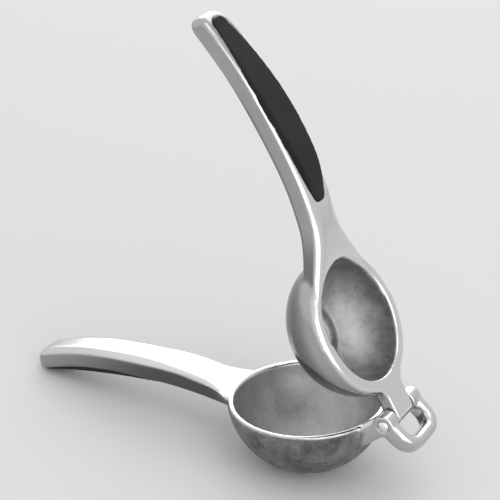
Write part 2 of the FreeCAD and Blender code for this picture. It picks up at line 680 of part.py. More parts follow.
def make_cup_hollow():
    """What is taken out of the upper casting: the cup's round inside and the pit in its floor."""
    body = new_body("cup_hollow")
    lip = size("lip_round")
    top = size("cup_rise")
    floor = f"({top} - {size('cup_depth')})"
    mouth_flare = f"{size('cup_depth')} * {MOUTH_SLOPE}"
    profile = draw_profile(new_sketch(body, "cup_profile", "XZ_Plane"), [
        ("0", f"{top} + {size('cup_depth')}"),
        ("0", f"{floor} - {size('pit_depth')}"),
        (f"{size('pit_radius')} - {size('pit_draft')}", f"{floor} - {size('pit_depth')}"),
        (size("pit_radius"), floor, size("cup_side_radius"), 1),
        (size("cup_radius"), f"{top} - {lip}", lip, -1),
        (f"{size('cup_radius')} + {lip}", top),
        (f"{size('cup_radius')} + {lip} + {mouth_flare}", f"{top} + {size('cup_depth')}"),
    ])
    revolve(body, profile, "cup_turned")
    return body


def make_pin():
    """A plain pin with domed ends, drawn about its own middle along Y."""
    body = new_body("hinge_pin")
    radius = f"({size('pin_diameter')} / 2)"
    half = f"({size('yoke_width')} / 2)"
    dome = f"(({radius}^2 + {size('pin_dome')}^2) / (2 * {size('pin_dome')}))"
    profile = draw_profile(new_sketch(body, "pin_profile", "XY_Plane"), [
        ("0", f"-{half} - {size('pin_dome')}", dome, 1),
        (radius, f"-{half}"),
        (radius, half, dome, 1),
        ("0", f"{half} + {size('pin_dome')}"),
    ])
    revolve(body, profile, "pin_turned", "Y_Axis")
    body.setExpression(".Placement.Base.x", size("pin_x"))
    body.setExpression(".Placement.Base.z", size("pin_z"))
    return body


def make_bore(name, radius):
    """The hole for the pin, right through in Y."""
    bore = doc.addObject("Part::Cylinder", name)
    bore.setExpression("Radius", radius)
    bore.setExpression("Height", f"{THROUGH} * {size('yoke_width')}")
    bore.Placement.Rotation = Rotation(Vector(1, 0, 0), -90)
    bore.setExpression(".Placement.Base.x", size("pin_at"))
    bore.setExpression(".Placement.Base.y", f"-{size('yoke_width')} * {THROUGH} / 2")
    bore.setExpression(".Placement.Base.z", size("pin_height"))
    return bore


def grip_heights(which):
    """Heights of a handle's grip face at the grip's outer end, the crest and the grip's inner end."""
    crest = size(f"{which}_crest_at")
    tip_share = f"(({size('grip_end')} - {crest}) / ({size(which + '_reach')} - {crest}))"
    neck_share = f"(({crest} - {size('grip_start')}) / ({crest} - {size(which + '_neck_at')}))"
    tops = [tip_top(which, tip_share), tip_top(which, 0), neck_top(which, neck_share)]
    if which == "upper":
        return tops
    depths = [tip_depth(which, tip_share), tip_depth(which, 0), neck_depth(which, neck_share)]
    return [f"({top} - {depth})" for top, depth in zip(tops, depths)]


def make_grip(which, seam, overshoot):
    """A grip let into a handle, or its bed: a long lens in plan between two arched faces."""
    kind = "grip" if overshoot == "0" else "grip_bed"
    body = new_body(f"{which}_{kind}")
    plan = new_sketch(body, f"{which}_{kind}_plan", "XY_Plane")
    inner, outer = (f"({size(f'grip_{end}_width')} / 2 + {seam})" for end in ("inner", "outer"))
    start, end = f"({size('grip_start')} - {seam})", f"({size('grip_end')} + {seam})"
    side = size("grip_side_radius")
    draw_profile(plan, [
        (f"-{end}", f"-{outer}", side, 1),
        (f"-{start}", f"-{inner}", f"{inner} * {END_SWELL}", 1),
        (f"-{start}", inner, side, 1),
        (f"-{end}", outer, f"{outer} * {END_SWELL}", 1),
    ])
    column_height = f"{COLUMN_WIDTHS} * {size('handle_width')}"
    pad(body, plan, f"{which}_{kind}_column", column_height, midplane=True)
    away = 1 if which == "upper" else -1
    metal = grip_heights(which)
    bed = [f"({height} - {away} * {size('grip_inlay')})" for height in metal]
    rises = [size(f"{which}_grip_end"), size(f"{which}_grip_crown"), size("grip_proud")]
    face = [f"({height} + {away} * ({rise} + {overshoot}))" for height, rise in zip(metal, rises)]
    crest = size(f"{which}_crest_at")
    places = [f"-{size('grip_end')}", f"-{crest}", f"-{size('grip_start')}"]
    for name, heights, outside in (("bed", bed, -away), ("face", face, away)):
        trim = new_sketch(body, f"{which}_{kind}_{name}", "XZ_Plane")
        far = f"({heights[1]} + {outside} * {column_height})"
        draw_arched(trim, places, heights, far)
        pocket = body.newObject("PartDesign::Pocket", f"{which}_{kind}_{name}_cut")
        pocket.Profile = trim
        pocket.Midplane = True
        pocket.setExpression("Length", f"{THROUGH} * {size('handle_width')}")
    return body


def draw_arched(sketch, places, heights, far):
    """The area between a two-arc arch, level at its crest, and a line far above or below it."""
    margin = size("grip_start")
    runs = [f"({places[0]} - {places[1]})", f"({places[2]} - {places[1]})"]
    drops = [f"({heights[1]} - {heights[0]})", f"({heights[1]} - {heights[2]})"]
    radii = [f"(({run}^2 + {drop}^2) / (2 * {drop}))" for run, drop in zip(runs, drops)]
    draw_profile(sketch, [
        (f"{places[0]} - {margin}", heights[0]),
        (places[0], heights[0], radii[0], -1),
        (places[1], heights[1], radii[1], -1),
        (places[2], heights[2]),
        (f"{places[2]} + {margin}", heights[2]),
        (f"{places[2]} + {margin}", far),
        (f"{places[0]} - {margin}", far),
    ])
    return sketch


lower_blank = fuse("lower_blank", [make_bowl(), make_handle("lower"), make_yoke()])
lower_tools = fuse("lower_tools", [
    make_bowl_hollow(),
    make_grip("lower", size("grip_seam"), size("handle_width")),
    make_bore("lower_bore", f"{size('pin_diameter')} / 2"),
])
lower_half = cut("lower_half", lower_blank, lower_tools)
set_down(lower_half, "lower")

upper_blank = fuse("upper_blank", [make_plunger(), make_tongue(), make_tongue_root(), make_handle("upper")])
upper_tools = fuse("upper_tools", [
    make_cup_hollow(),
    make_grip("upper", size("grip_seam"), size("handle_width")),
    make_bore("upper_bore", f"{size('pin_diameter')} / 2 + {size('pin_play')}"),
])
upper_half = cut("upper_half", upper_blank, upper_tools)
set_down(upper_half, "upper")

hinge_pin = make_pin()
lower_grip = make_grip("lower", "0", "0")
set_down(lower_grip, "lower")
upper_grip = make_grip("upper", "0", "0")
set_down(upper_grip, "upper")

doc.recompute()
SUB_PARTS = [lower_half, upper_half, hinge_pin, lower_grip, upper_grip]
failed = [item.Label for item in doc.Objects if {"Invalid", "Error"} & set(item.State)]
if failed:
    raise RuntimeError(f"not built: {failed}")
for piece in SUB_PARTS:
    if piece.Shape.isNull() or not piece.Shape.isValid() or len(piece.Shape.Solids) != 1:
        raise RuntimeError(f"{piece.Label} is not one valid solid")

os.makedirs("parts", exist_ok=True)
for piece in SUB_PARTS:
    piece.Shape.exportStep(f"parts/{piece.Label}.step")
    print(piece.Label, round(piece.Shape.Volume, 1), piece.Shape.BoundBox)
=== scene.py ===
import json
import logging
import math
from dataclasses import dataclass, field
from enum import Enum
from typing import Any

import bmesh
import bpy
import numpy as np
from mathutils import Matrix, Vector


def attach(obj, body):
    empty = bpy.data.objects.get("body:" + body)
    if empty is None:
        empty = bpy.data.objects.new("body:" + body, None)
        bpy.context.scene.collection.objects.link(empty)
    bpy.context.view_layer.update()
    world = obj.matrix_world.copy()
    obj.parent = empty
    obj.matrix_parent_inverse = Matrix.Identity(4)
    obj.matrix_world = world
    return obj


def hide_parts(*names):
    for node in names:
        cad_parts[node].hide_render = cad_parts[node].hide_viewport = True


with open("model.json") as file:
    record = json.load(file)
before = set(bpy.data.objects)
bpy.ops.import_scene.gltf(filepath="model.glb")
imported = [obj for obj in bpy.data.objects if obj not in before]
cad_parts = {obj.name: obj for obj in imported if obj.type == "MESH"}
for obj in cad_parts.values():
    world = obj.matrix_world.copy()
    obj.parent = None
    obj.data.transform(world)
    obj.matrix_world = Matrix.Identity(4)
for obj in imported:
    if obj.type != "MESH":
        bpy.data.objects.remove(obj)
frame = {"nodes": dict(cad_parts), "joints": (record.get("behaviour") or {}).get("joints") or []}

# A hand-held citrus press: two hinged die-cast levers, a riveted pin and two soft grips. Lengths of the
# press are millimetres, as on a drawing, and become metres where a mesh is made. The studio's lengths are
# metres.

Colour = tuple[float, float, float, float]

MM = 0.001
# Points closer than this are one point.
WELD_MM = 0.001
# How far one pass of smoothing moves a point towards its neighbours.
SMOOTH_FACTOR = 0.5
# A ring pattern of scale 1 runs through 20 radians in a metre.
RING_SCALE = math.tau / 20
# Most of a noise pattern lies between these values, and most of two mixed ones between the closer pair.
NOISE_SPREAD = (0.3, 0.7)
MOTTLE_SPREAD = (0.38, 0.62)
# The colour sockets of a mix node, whose names it has more than once.
MIX_A, MIX_B, MIX_OUT = 6, 7, 2
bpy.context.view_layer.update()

log = logging.getLogger("citrus_press")


class Slot(Enum):
    """The record's material slots."""

    CASTING = "cast_aluminium"
    PIN = "pin_steel"
    GRIP = "grip_black"


class SkinAndShade(Enum):
    """Attributes on a casting's points: how far its skin is still tumbled, and how much painted shade
    falls on it.
    """

    TUMBLED = "tumbled"
    SIDE = "side"


def linear(colour: str) -> Colour:
    """Turns an sRGB hex colour into the linear colour that a shader reads.

    Args:
        colour: Six hex digits with a leading hash.

    Returns:
        Linear red, green and blue, and full alpha.
    """
    channels = [int(colour[at:at + 2], 16) / 255 for at in (1, 3, 5)]
    low = [value / 12.92 for value in channels]
    high = [((value + 0.055) / 1.055) ** 2.4 for value in channels]
    red, green, blue = (a if c <= 0.04045 else b for a, b, c in zip(low, high, channels))
    return red, green, blue, 1.0


def per_metre(feature_mm: float) -> float:
    """The scale of a pattern whose features are a given size in millimetres."""
    return 1 / (feature_mm * MM)


def smooth_step(low: float, high: float, values: np.ndarray) -> np.ndarray:
    """A soft ramp from 0 at low to 1 at high, or down where low is above high.

    Args:
        low: Value that gives 0.
        high: Value that gives 1.
        values: Values to read on the ramp.

    Returns:
        Shares from 0 to 1.
    """
    share = np.clip((values - low) / (high - low), 0, 1)
    return share * share * (3 - 2 * share)


def add_node(tree: bpy.types.NodeTree, kind: str, settings: dict[str, Any] | None = None,
             inputs: dict[str | int, Any] | None = None) -> bpy.types.Node:
    """Adds a node with its settings, socket values and links.

    Args:
        tree: Node tree that gets the node.
        kind: The node's type name.
        settings: Properties of the node itself.
        inputs: Socket name or index to a value, or to an output socket that is linked to it.

    Returns:
        The new node.
    """
    node = tree.nodes.new(kind)
    for name, value in (settings or {}).items():
        setattr(node, name, value)
    for name, value in (inputs or {}).items():
        if isinstance(value, bpy.types.NodeSocket):
            tree.links.new(value, node.inputs[name])
        else:
            node.inputs[name].default_value = value
    return node


def new_material(name: str) -> tuple[bpy.types.Material, bpy.types.NodeTree]:
    """Starts a node material.

    Args:
        name: The material's name.

    Returns:
        The material and its empty tree.
    """
    material = bpy.data.materials.new(name)
    material.use_nodes = True
    material.node_tree.nodes.clear()
    return material, material.node_tree


def ramp(tree: bpy.types.NodeTree, factor: bpy.types.NodeSocket, low: Colour, high: Colour,
         spread: tuple[float, float] = (0.0, 1.0)) -> bpy.types.NodeSocket:
    """Runs a pattern through a ramp of two linear colours.

    Args:
        tree: Node tree that gets the ramp.
        factor: Output that drives it.
        low: Colour at the lower end.
        high: Colour at the upper end.
        spread: Values of the pattern at the two ends.

    Returns:
        The ramp's colour output.
    """
    node = add_node(tree, "ShaderNodeValToRGB", inputs={"Fac": factor})
    for element, position, colour in zip(node.color_ramp.elements, spread, (low, high)):
        element.position = position
        element.color = colour
    return node.outputs["Color"]


def grey(level: float) -> Colour:
    """A linear grey, for roughness ramps and white light."""
    return level, level, level, 1.0


@dataclass(frozen=True)
class CastAluminium:
    """Die-cast aluminium, tumbled all over and then buffed by hand on its outer faces.

    Buffing leaves a soft bright sheen with faint waves, and a rougher satin on sides and undersides,
    which get less of it; those faces also get a darker colour that is painted shade. The bowl and the
    inside of the cup keep the cloudy skin of the tumbling barrel. Pairs are the low and the high end of a
    finish that varies.
    """

    polished: str = "#DCDDDE"
    # Painted shade: sides and undersides are this much darker than the top, as they face away from the
    # light.
    side: str = "#626366"
    inside: tuple[str, str] = ("#6F7072", "#A2A3A5")
    # Painted shade over a real mottle: the tumbled skin's outward and downward faces are darker.
    shaded_outside: tuple[str, str] = ("#626365", "#949597")
    polished_roughness: tuple[float, float] = (0.136, 0.2125)
    side_roughness: tuple[float, float] = (0.225, 0.275)
    tumbled_roughness: tuple[float, float] = (0.527, 0.713)
    cloud_mm: float = 9.0
    speck_mm: float = 1.6
    speck_share: float = 0.4
    wave_mm: float = 14.0
    wave_height_mm: float = 0.5
    grain_mm: float = 0.5
    grain_depth_mm: float = 0.06

    def material(self) -> bpy.types.Material:
        """Builds the shader.

        Returns:
            A metal that goes from polished to tumbled by the casting's wear attributes.
        """
        material, tree = new_material("cast_aluminium_painted_shade")
        place = add_node(tree, "ShaderNodeTexCoord").outputs["Object"]
        tumbled, side = (
            add_node(tree, "ShaderNodeAttribute", {"attribute_name": attribute_kind.value}).outputs["Fac"]
            for attribute_kind in (SkinAndShade.TUMBLED, SkinAndShade.SIDE))
        clouds = add_node(tree, "ShaderNodeTexNoise", inputs={
            "Vector": place, "Scale": per_metre(self.cloud_mm), "Detail": 4.0, "Roughness": 0.6})
        specks = add_node(tree, "ShaderNodeTexNoise", inputs={
            "Vector": place, "Scale": per_metre(self.speck_mm), "Detail": 3.0, "Roughness": 0.65})
        mottle = add_node(tree, "ShaderNodeMix", {"data_type": "FLOAT"}, {
            "Factor": self.speck_share, "A": clouds.outputs["Fac"], "B": specks.outputs["Fac"]})
        inside = ramp(tree, mottle.outputs["Result"], *map(linear, self.inside), MOTTLE_SPREAD)
        shaded_outside = ramp(tree, mottle.outputs["Result"], *map(linear, self.shaded_outside), MOTTLE_SPREAD)
        # Painted shade: outward faces of the tumbled skin take the darker mottled colour.
        tumbled_skin_and_shade = add_node(tree, "ShaderNodeMix", {"data_type": "RGBA"}, {
            "Factor": side, MIX_A: inside, MIX_B: shaded_outside})
        # Painted shade: the buffed sides and undersides take the dark grey.
        buffed_and_shaded = ramp(tree, side, linear(self.polished), linear(self.side))
        colour = add_node(tree, "ShaderNodeMix", {"data_type": "RGBA"}, {
            "Factor": tumbled, MIX_A: buffed_and_shaded, MIX_B: tumbled_skin_and_shade.outputs[MIX_OUT]})
        sheen = ramp(tree, clouds.outputs["Fac"], *map(grey, self.polished_roughness), NOISE_SPREAD)
        satin = ramp(tree, clouds.outputs["Fac"], *map(grey, self.side_roughness), NOISE_SPREAD)
        buffing = add_node(tree, "ShaderNodeMix", {"data_type": "RGBA"}, {
            "Factor": side, MIX_A: sheen, MIX_B: satin})
        skin = ramp(tree, specks.outputs["Fac"], *map(grey, self.tumbled_roughness), NOISE_SPREAD)
        roughness = add_node(tree, "ShaderNodeMix", {"data_type": "RGBA"}, {
            "Factor": tumbled, MIX_A: buffing.outputs[MIX_OUT], MIX_B: skin})
        waves = add_node(tree, "ShaderNodeTexNoise", inputs={
            "Vector": place, "Scale": per_metre(self.wave_mm), "Detail": 1.0})
        grain = add_node(tree, "ShaderNodeTexNoise", inputs={
            "Vector": place, "Scale": per_metre(self.grain_mm), "Detail": 2.0})
        swell = add_node(tree, "ShaderNodeBump", inputs={
            "Strength": 0.25, "Distance": self.wave_height_mm * MM, "Height": waves.outputs["Fac"]})
        pits = add_node(tree, "ShaderNodeBump", inputs={
            "Strength": 0.12, "Distance": self.grain_depth_mm * MM, "Height": grain.outputs["Fac"],
            "Normal": swell.outputs["Normal"]})
        surface = add_node(tree, "ShaderNodeBsdfPrincipled", inputs={
            "Base Color": colour.outputs[MIX_OUT], "Metallic": 1.0,
            "Roughness": roughness.outputs[MIX_OUT], "Normal": pits.outputs["Normal"]})
        add_node(tree, "ShaderNodeOutputMaterial", inputs={"Surface": surface.outputs["BSDF"]})
        return material


@dataclass(frozen=True)
class SoftGrip:
    """Black thermoplastic rubber, moulded in a spark-eroded tool: matte, with a very fine even grain."""

    black: tuple[str, str] = ("#0F0F0F", "#181818")
    roughness: tuple[float, float] = (0.63, 0.77)
    grain_mm: float = 0.45
    grain_depth_mm: float = 0.08
    cloud_mm: float = 12.0

    def material(self) -> bpy.types.Material:
        """Builds the shader.

        Returns:
            A matte black rubber with a moulded grain.
        """
        material, tree = new_material("moulded_black_rubber")
        place = add_node(tree, "ShaderNodeTexCoord").outputs["Object"]
        grain = add_node(tree, "ShaderNodeTexNoise", inputs={
            "Vector": place, "Scale": per_metre(self.grain_mm), "Detail": 2.0, "Roughness": 0.5})
        clouds = add_node(tree, "ShaderNodeTexNoise", inputs={
            "Vector": place, "Scale": per_metre(self.cloud_mm), "Detail": 2.0})
        colour = ramp(tree, clouds.outputs["Fac"], *map(linear, self.black), NOISE_SPREAD)
        roughness = ramp(tree, grain.outputs["Fac"], *map(grey, self.roughness), NOISE_SPREAD)
        bump = add_node(tree, "ShaderNodeBump", inputs={
            "Strength": 0.35, "Distance": self.grain_depth_mm * MM, "Height": grain.outputs["Fac"]})
        surface = add_node(tree, "ShaderNodeBsdfPrincipled", inputs={
            "Base Color": colour, "Roughness": roughness, "IOR": 1.5, "Specular IOR Level": 0.35,
            "Normal": bump.outputs["Normal"]})
        add_node(tree, "ShaderNodeOutputMaterial", inputs={"Surface": surface.outputs["BSDF"]})
        return material


@dataclass(frozen=True)
class TurnedSteel:
    """Bright turned steel: the pin's domed ends keep fine rings from the lathe."""

    bright: tuple[str, str] = ("#DCDDDF", "#EDEEEF")
    roughness: float = 0.3
    ring_mm: float = 0.5
    ring_depth_mm: float = 0.02

    def material(self, axis_at: Vector) -> bpy.types.Material:
        """Builds the shader.

        Args:
            axis_at: A point on the pin's axis, in metres.

        Returns:
            A steel with rings about the pin's axis.
        """
        material, tree = new_material("turned_steel")
        place = add_node(tree, "ShaderNodeTexCoord").outputs["Object"]
        centred = add_node(tree, "ShaderNodeMapping", inputs={"Vector": place, "Location": -axis_at})
        rings = add_node(tree, "ShaderNodeTexWave", {"wave_type": "RINGS", "rings_direction": "Y"}, {
            "Vector": centred.outputs["Vector"], "Scale": per_metre(self.ring_mm) * RING_SCALE,
            "Distortion": 0.6})
        colour = ramp(tree, rings.outputs["Fac"], *map(linear, self.bright))
        bump = add_node(tree, "ShaderNodeBump", inputs={
            "Strength": 0.05, "Distance": self.ring_depth_mm * MM, "Height": rings.outputs["Fac"]})
        surface = add_node(tree, "ShaderNodeBsdfPrincipled", inputs={
            "Base Color": colour, "Metallic": 1.0, "Roughness": self.roughness,
            "Normal": bump.outputs["Normal"]})
        add_node(tree, "ShaderNodeOutputMaterial", inputs={"Surface": surface.outputs["BSDF"]})
        return material


def link_piece(name: str, mesh: bpy.types.Mesh) -> bpy.types.Object:
    """Puts a mesh in the scene, as an object at the origin.

    Args:
        name: The object's name.
        mesh: Its mesh.

    Returns:
        The object.
    """
    piece = bpy.data.objects.new(name, mesh)
    bpy.context.scene.collection.objects.link(piece)
    return piece


def evaluated_mesh(piece: bpy.types.Object) -> bpy.types.Mesh:
    """A copy of a piece's mesh as its modifiers leave it."""
    graph = bpy.context.evaluated_depsgraph_get()
    return bpy.data.meshes.new_from_object(piece.evaluated_get(graph))


def point_array(mesh: bpy.types.Mesh, what: str = "co") -> np.ndarray:
    """Reads a mesh's points.

    Args:
        mesh: The mesh.
        what: Whether to read their places, co, or their normals, normal.

    Returns:
        One row of three numbers for each point.
    """
    values = np.zeros(len(mesh.vertices) * 3, np.float32)
    mesh.vertices.foreach_get(what, values)
    return values.reshape(-1, 3).astype(float)


def add_smoothing(piece: bpy.types.Object, name: str, passes: int) -> bpy.types.Modifier:
    """Adds a smoothing modifier to a piece.

    Args:
        piece: The piece.
        name: The modifier's name.
        passes: How often its points are smoothed.

    Returns:
        The modifier.
    """
    smooth = piece.modifiers.new(name, "SMOOTH")
    smooth.factor = SMOOTH_FACTOR
    smooth.iterations = passes
    return smooth


@dataclass(frozen=True)
class Softening:
    """How a piece's edges are softened: mesh width, and passes of smoothing on edges and in corners."""

    mesh_mm: float
    edge_passes: int
    corner_passes: int
    last_passes: int

    def apply(self, node: str, name: str) -> bpy.types.Object:
        """Makes a softened copy of a CAD node: edges broken a little, inner corners filled like fillets.

        Args:
            node: CAD node that the copy starts from.
            name: Name of the new piece.

        Returns:
            The new piece, with an even mesh and smooth faces.
        """
        mesh = frame["nodes"][node].data.copy()
        mesh.materials.clear()
        solid = bmesh.new()
        solid.from_mesh(mesh)
        bmesh.ops.remove_doubles(solid, verts=solid.verts, dist=WELD_MM * MM)
        solid.to_mesh(mesh)
        solid.free()
        piece = link_piece(name, mesh)
        remesh = piece.modifiers.new("even_mesh", "REMESH")
        remesh.mode = "VOXEL"
        remesh.voxel_size = self.mesh_mm * MM
        smooth = add_smoothing(piece, "soft_edges", self.edge_passes)
        even = evaluated_mesh(piece)
        if self.corner_passes:
            smooth.iterations = self.edge_passes + self.corner_passes
            places, normals = point_array(even), point_array(even, "normal")
            moved = point_array(evaluated_mesh(piece))
            filled = np.clip(np.einsum("ij,ij->i", moved - places, normals), 0, None)
            places += normals * filled[:, None]
            even.vertices.foreach_set("co", places.astype(np.float32).ravel())
        piece.modifiers.clear()
        piece.data = even
        if self.last_passes:
            add_smoothing(piece, "even_fill", self.last_passes)
            piece.data = evaluated_mesh(piece)
            piece.modifiers.clear()
        piece.data.name = name
        piece.data.polygons.foreach_set("use_smooth", [True] * len(piece.data.polygons))
        return piece


@dataclass(frozen=True)
class PaintedTipShade:
    """A handle's tip, where painted shade makes the top as dark as the sides.

    It runs from start to end along the lever. There the sides' share of painted shade takes over by
    blend.
    """

    start: float
    end: float
    share: float
    blend: float


@dataclass(frozen=True)
class NeckBlend:
    """A neck's smoothing, by distance from the rim's middle.

    There is none at far and at end, and all of it between full and back, on faces that look upwards.
    """

    far: float
    full: float
    back: float
    end: float
    facing: tuple[float, float] = (0.0, 0.35)
    passes: int = 80
    least_weight: float = 0.01


@dataclass
class Lever:
    """One lever of the press: a casting and the grip let into its handle.

    The facing fields give how far upwards a face looks, from -1 to 1, where painted shade begins and is
    full.
    """

    name: str
    body: str
    turn_deg: float
    rim_centre_mm: tuple[float, float, float]
    side_shade_share: float
    under_shade_share: float
    side_facing: tuple[float, float]
    tip: PaintedTipShade
    neck: NeckBlend
    under_facing: tuple[float, float] = (0.25, -0.45)
    grip_lap: float = 0.45
    casting: Softening = Softening(mesh_mm=0.58, edge_passes=4, corner_passes=36, last_passes=4)
    grip: Softening = Softening(mesh_mm=0.34, edge_passes=8, corner_passes=0, last_passes=0)

    def local_mm(self, points: np.ndarray, is_direction: bool = False) -> np.ndarray:
        """Points in the lever's own frame, with the rim's middle at its origin and the hinge along +X.

        Args:
            points: Places in metres, or directions, one row each.
            is_direction: Whether the rows are directions.

        Returns:
            The rows in the lever's frame, in millimetres where they are places.
        """
        turn = np.array(Matrix.Rotation(math.radians(self.turn_deg), 3, "Y"))
        if is_direction:
            return points @ turn
        return (points / MM - np.array(self.rim_centre_mm)) @ turn

    def tumbled(self, places: np.ndarray, normals: np.ndarray) -> np.ndarray:
        """How far the casting's skin is still as tumbled.

        Args:
            places: Points in the lever's frame.
            normals: Their normals in the lever's frame.

        Returns:
            Shares from 0 to 1.
        """
        raise NotImplementedError

    def side(self, places: np.ndarray, normals: np.ndarray) -> np.ndarray:
        """How much painted shade falls on the casting's sides and undersides, which also get a rougher
        satin than its top.

        Towards the handle's tip the top takes on more and more of this painted shade too.

        Args:
            places: Points in the lever's frame.
            normals: Their normals in the lever's frame.

        Returns:
            Shares from 0 to 1.
        """
        # Painted shade on faces that look sideways or downwards.
        upright = self.side_shade_share * smooth_step(*self.side_facing, normals[:, 2])
        under = self.under_shade_share * smooth_step(*self.under_facing, normals[:, 2])
        shares = np.maximum(upright, under)
        # Painted shade that spreads over the top towards the handle's tip.
        tip = self.tip.blend * smooth_step(self.tip.start, self.tip.end, places[:, 0])
        return shares + (self.tip.share - shares) * tip

    def blend_neck(self, casting: bpy.types.Object) -> None:
        """Smooths the top of the neck, which runs into the rim or the flange without a crease.

        Args:
            casting: The lever's softened casting.
        """
        places = self.local_mm(point_array(casting.data))
        normals = self.local_mm(point_array(casting.data, "normal"), is_direction=True)
        neck = self.neck
        radius = np.hypot(places[:, 0], places[:, 1])
        weights = smooth_step(neck.far, neck.full, radius) * smooth_step(neck.end, neck.back, radius)
        upward = smooth_step(*neck.facing, normals[:, 2])
        weights *= np.maximum(upward, self.mouth(places, radius)) * (places[:, 0] < 0)
        group = casting.vertex_groups.new(name="neck")
        for point in np.flatnonzero(weights > neck.least_weight):
            group.add([int(point)], float(weights[point]), "REPLACE")
        smooth = add_smoothing(casting, "neck", neck.passes)
        smooth.vertex_group = group.name
        blended = evaluated_mesh(casting)
        casting.modifiers.clear()
        casting.vertex_groups.clear()
        casting.data = blended

    def mouth(self, places: np.ndarray, radius: np.ndarray) -> np.ndarray:
        """Where the neck is cut by an open mouth, as 0 or 1: no lever has one unless it says so."""
        return np.zeros(len(places))

    def lap_grip(self, grip: bpy.types.Object) -> None:
        """Widens the grip a little, so that its rim lies on the edge of its bed and closes the seam.

        Args:
            grip: The lever's softened grip.
        """
        places = point_array(grip.data)
        outward = self.local_mm(point_array(grip.data, "normal"), is_direction=True)
        outward[:, 0] = np.clip(outward[:, 0], 0, None)
        outward[:, 2] = 0
        turn = np.array(Matrix.Rotation(math.radians(self.turn_deg), 3, "Y"))
        places += outward @ turn.T * self.grip_lap * MM
        grip.data.vertices.foreach_set("co", places.astype(np.float32).ravel())
        grip.data.update()

    def build(self, metal: bpy.types.Material, rubber: bpy.types.Material) -> list[bpy.types.Object]:
        """Makes and dresses the casting and its grip.

        Args:
            metal: Finish of the casting.
            rubber: Finish of the grip.

        Returns:
            The two pieces.
        """
        casting = self.casting.apply(f"{self.name}_half", f"{self.name}_casting")
        self.blend_neck(casting)
        mesh = casting.data
        places = self.local_mm(point_array(mesh))
        normals = self.local_mm(point_array(mesh, "normal"), is_direction=True)
        # The tumbled share is the casting's real skin; the second share is painted shade on sides and
        # undersides.
        finish_and_shade_shares = {SkinAndShade.TUMBLED: self.tumbled(places, normals), SkinAndShade.SIDE: self.side(places, normals)}
        for attribute_kind, shares in finish_and_shade_shares.items():
            layer = mesh.attributes.new(attribute_kind.value, "FLOAT", "POINT")
            layer.data.foreach_set("value", shares.astype(np.float32))
        grip = self.grip.apply(f"{self.name}_grip", f"{self.name}_soft_grip")
        self.lap_grip(grip)
        dressed = ((casting, metal, Slot.CASTING, "half"), (grip, rubber, Slot.GRIP, "grip"))
        for piece, finish, slot, node in dressed:
            piece.data.materials.append(finish)
            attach(piece, self.body)
            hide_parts(f"{self.name}_{node}")
        return [casting, grip]


@dataclass
class LowerLever(Lever):
    """The lower lever: a bowl with juice holes, a handle, two hinge arms and the hanging loop."""

    dome_radius: float = 36.09
    dome_rise: float = 2.59
    hollow_radius: float = 33.21
    hollow_rise: float = 3.71
    hollow_share: float = 0.65
    skin: float = 1.0
    skin_fade: float = 3.0
    rim_band: tuple[float, float] = (-0.3, -2.2)
    yoke: tuple[float, float] = (30.0, 34.0)
    yoke_shade_share: float = 0.35

    def above_hollow(self, places: np.ndarray) -> np.ndarray:
        """Distances from the bowl's round inside, less than 0 in its hollow."""
        return np.linalg.norm(places - [0, 0, self.hollow_rise], axis=1) - self.hollow_radius

    def tumbled(self, places: np.ndarray, normals: np.ndarray) -> np.ndarray:
        """The bowl keeps its tumbled skin inside and outside, up to a buffed band along its rim.

        Args:
            places: Points in the lever's frame.
            normals: Their normals in the lever's frame, which make no difference on the bowl.

        Returns:
            Shares from 0 to 1.
        """
        from_dome = np.linalg.norm(places - [0, 0, self.dome_rise], axis=1) - self.dome_radius
        from_hollow = self.above_hollow(places)
        near = np.minimum(np.abs(from_dome), np.abs(from_hollow))
        on_dome = smooth_step(self.skin_fade, self.skin, near)
        shares = np.where(from_hollow < self.skin, self.hollow_share, on_dome)
        return shares * smooth_step(*self.rim_band, places[:, 2])

    def side(self, places: np.ndarray, normals: np.ndarray) -> np.ndarray:
        """Painted shade, left out of the bowl's inside and mostly out of the hinge arms and the loop,
        buffed all round.

        Args:
            places: Points in the lever's frame.
            normals: Their normals in the lever's frame.

        Returns:
            Shares from 0 to 1.
        """
        # The hinge arms and the loop keep only a little of the painted shade.
        yoke = smooth_step(*self.yoke, places[:, 0])
        shares = super().side(places, normals) * (1 - yoke * (1 - self.yoke_shade_share))
        return shares * (self.above_hollow(places) > self.skin)


@dataclass
class UpperLever(Lever):
    """The upper lever: a press cup with a flat flange, a handle and the hinge tongue."""

    cup_top: float = 7.6
    cup_radius: float = 26.0
    cup_fade: float = 1.0
    cup_band: tuple[float, float] = (0.4, 1.4)
    cup_share: float = 0.8
    inward: tuple[float, float] = (0.0, 0.3)
    lip: float = 1.6
    mouth_end: float = 31.0

    def tumbled(self, places: np.ndarray, normals: np.ndarray) -> np.ndarray:
        """The cup keeps its tumbled skin on the faces that look into it.

        Args:
            places: Points in the lever's frame.
            normals: Their normals in the lever's frame.

        Returns:
            Shares from 0 to 1.
        """
        radius = np.hypot(places[:, 0], places[:, 1])
        depth = self.cup_top - places[:, 2]
        outward = (places[:, :2] * normals[:, :2]).sum(axis=1) / np.maximum(radius, self.cup_fade)
        inside = smooth_step(self.cup_radius + self.cup_fade, self.cup_radius, radius)
        inside *= smooth_step(*self.inward, normals[:, 2] - outward)
        return inside * self.cup_share * smooth_step(*self.cup_band, depth)

    def mouth(self, places: np.ndarray, radius: np.ndarray) -> np.ndarray:
        """The cup's mouth cuts the root of the neck above the flange, and its wall is blended too."""
        above = places[:, 2] > self.cup_top - self.lip
        return (above & (radius < self.mouth_end)).astype(float)


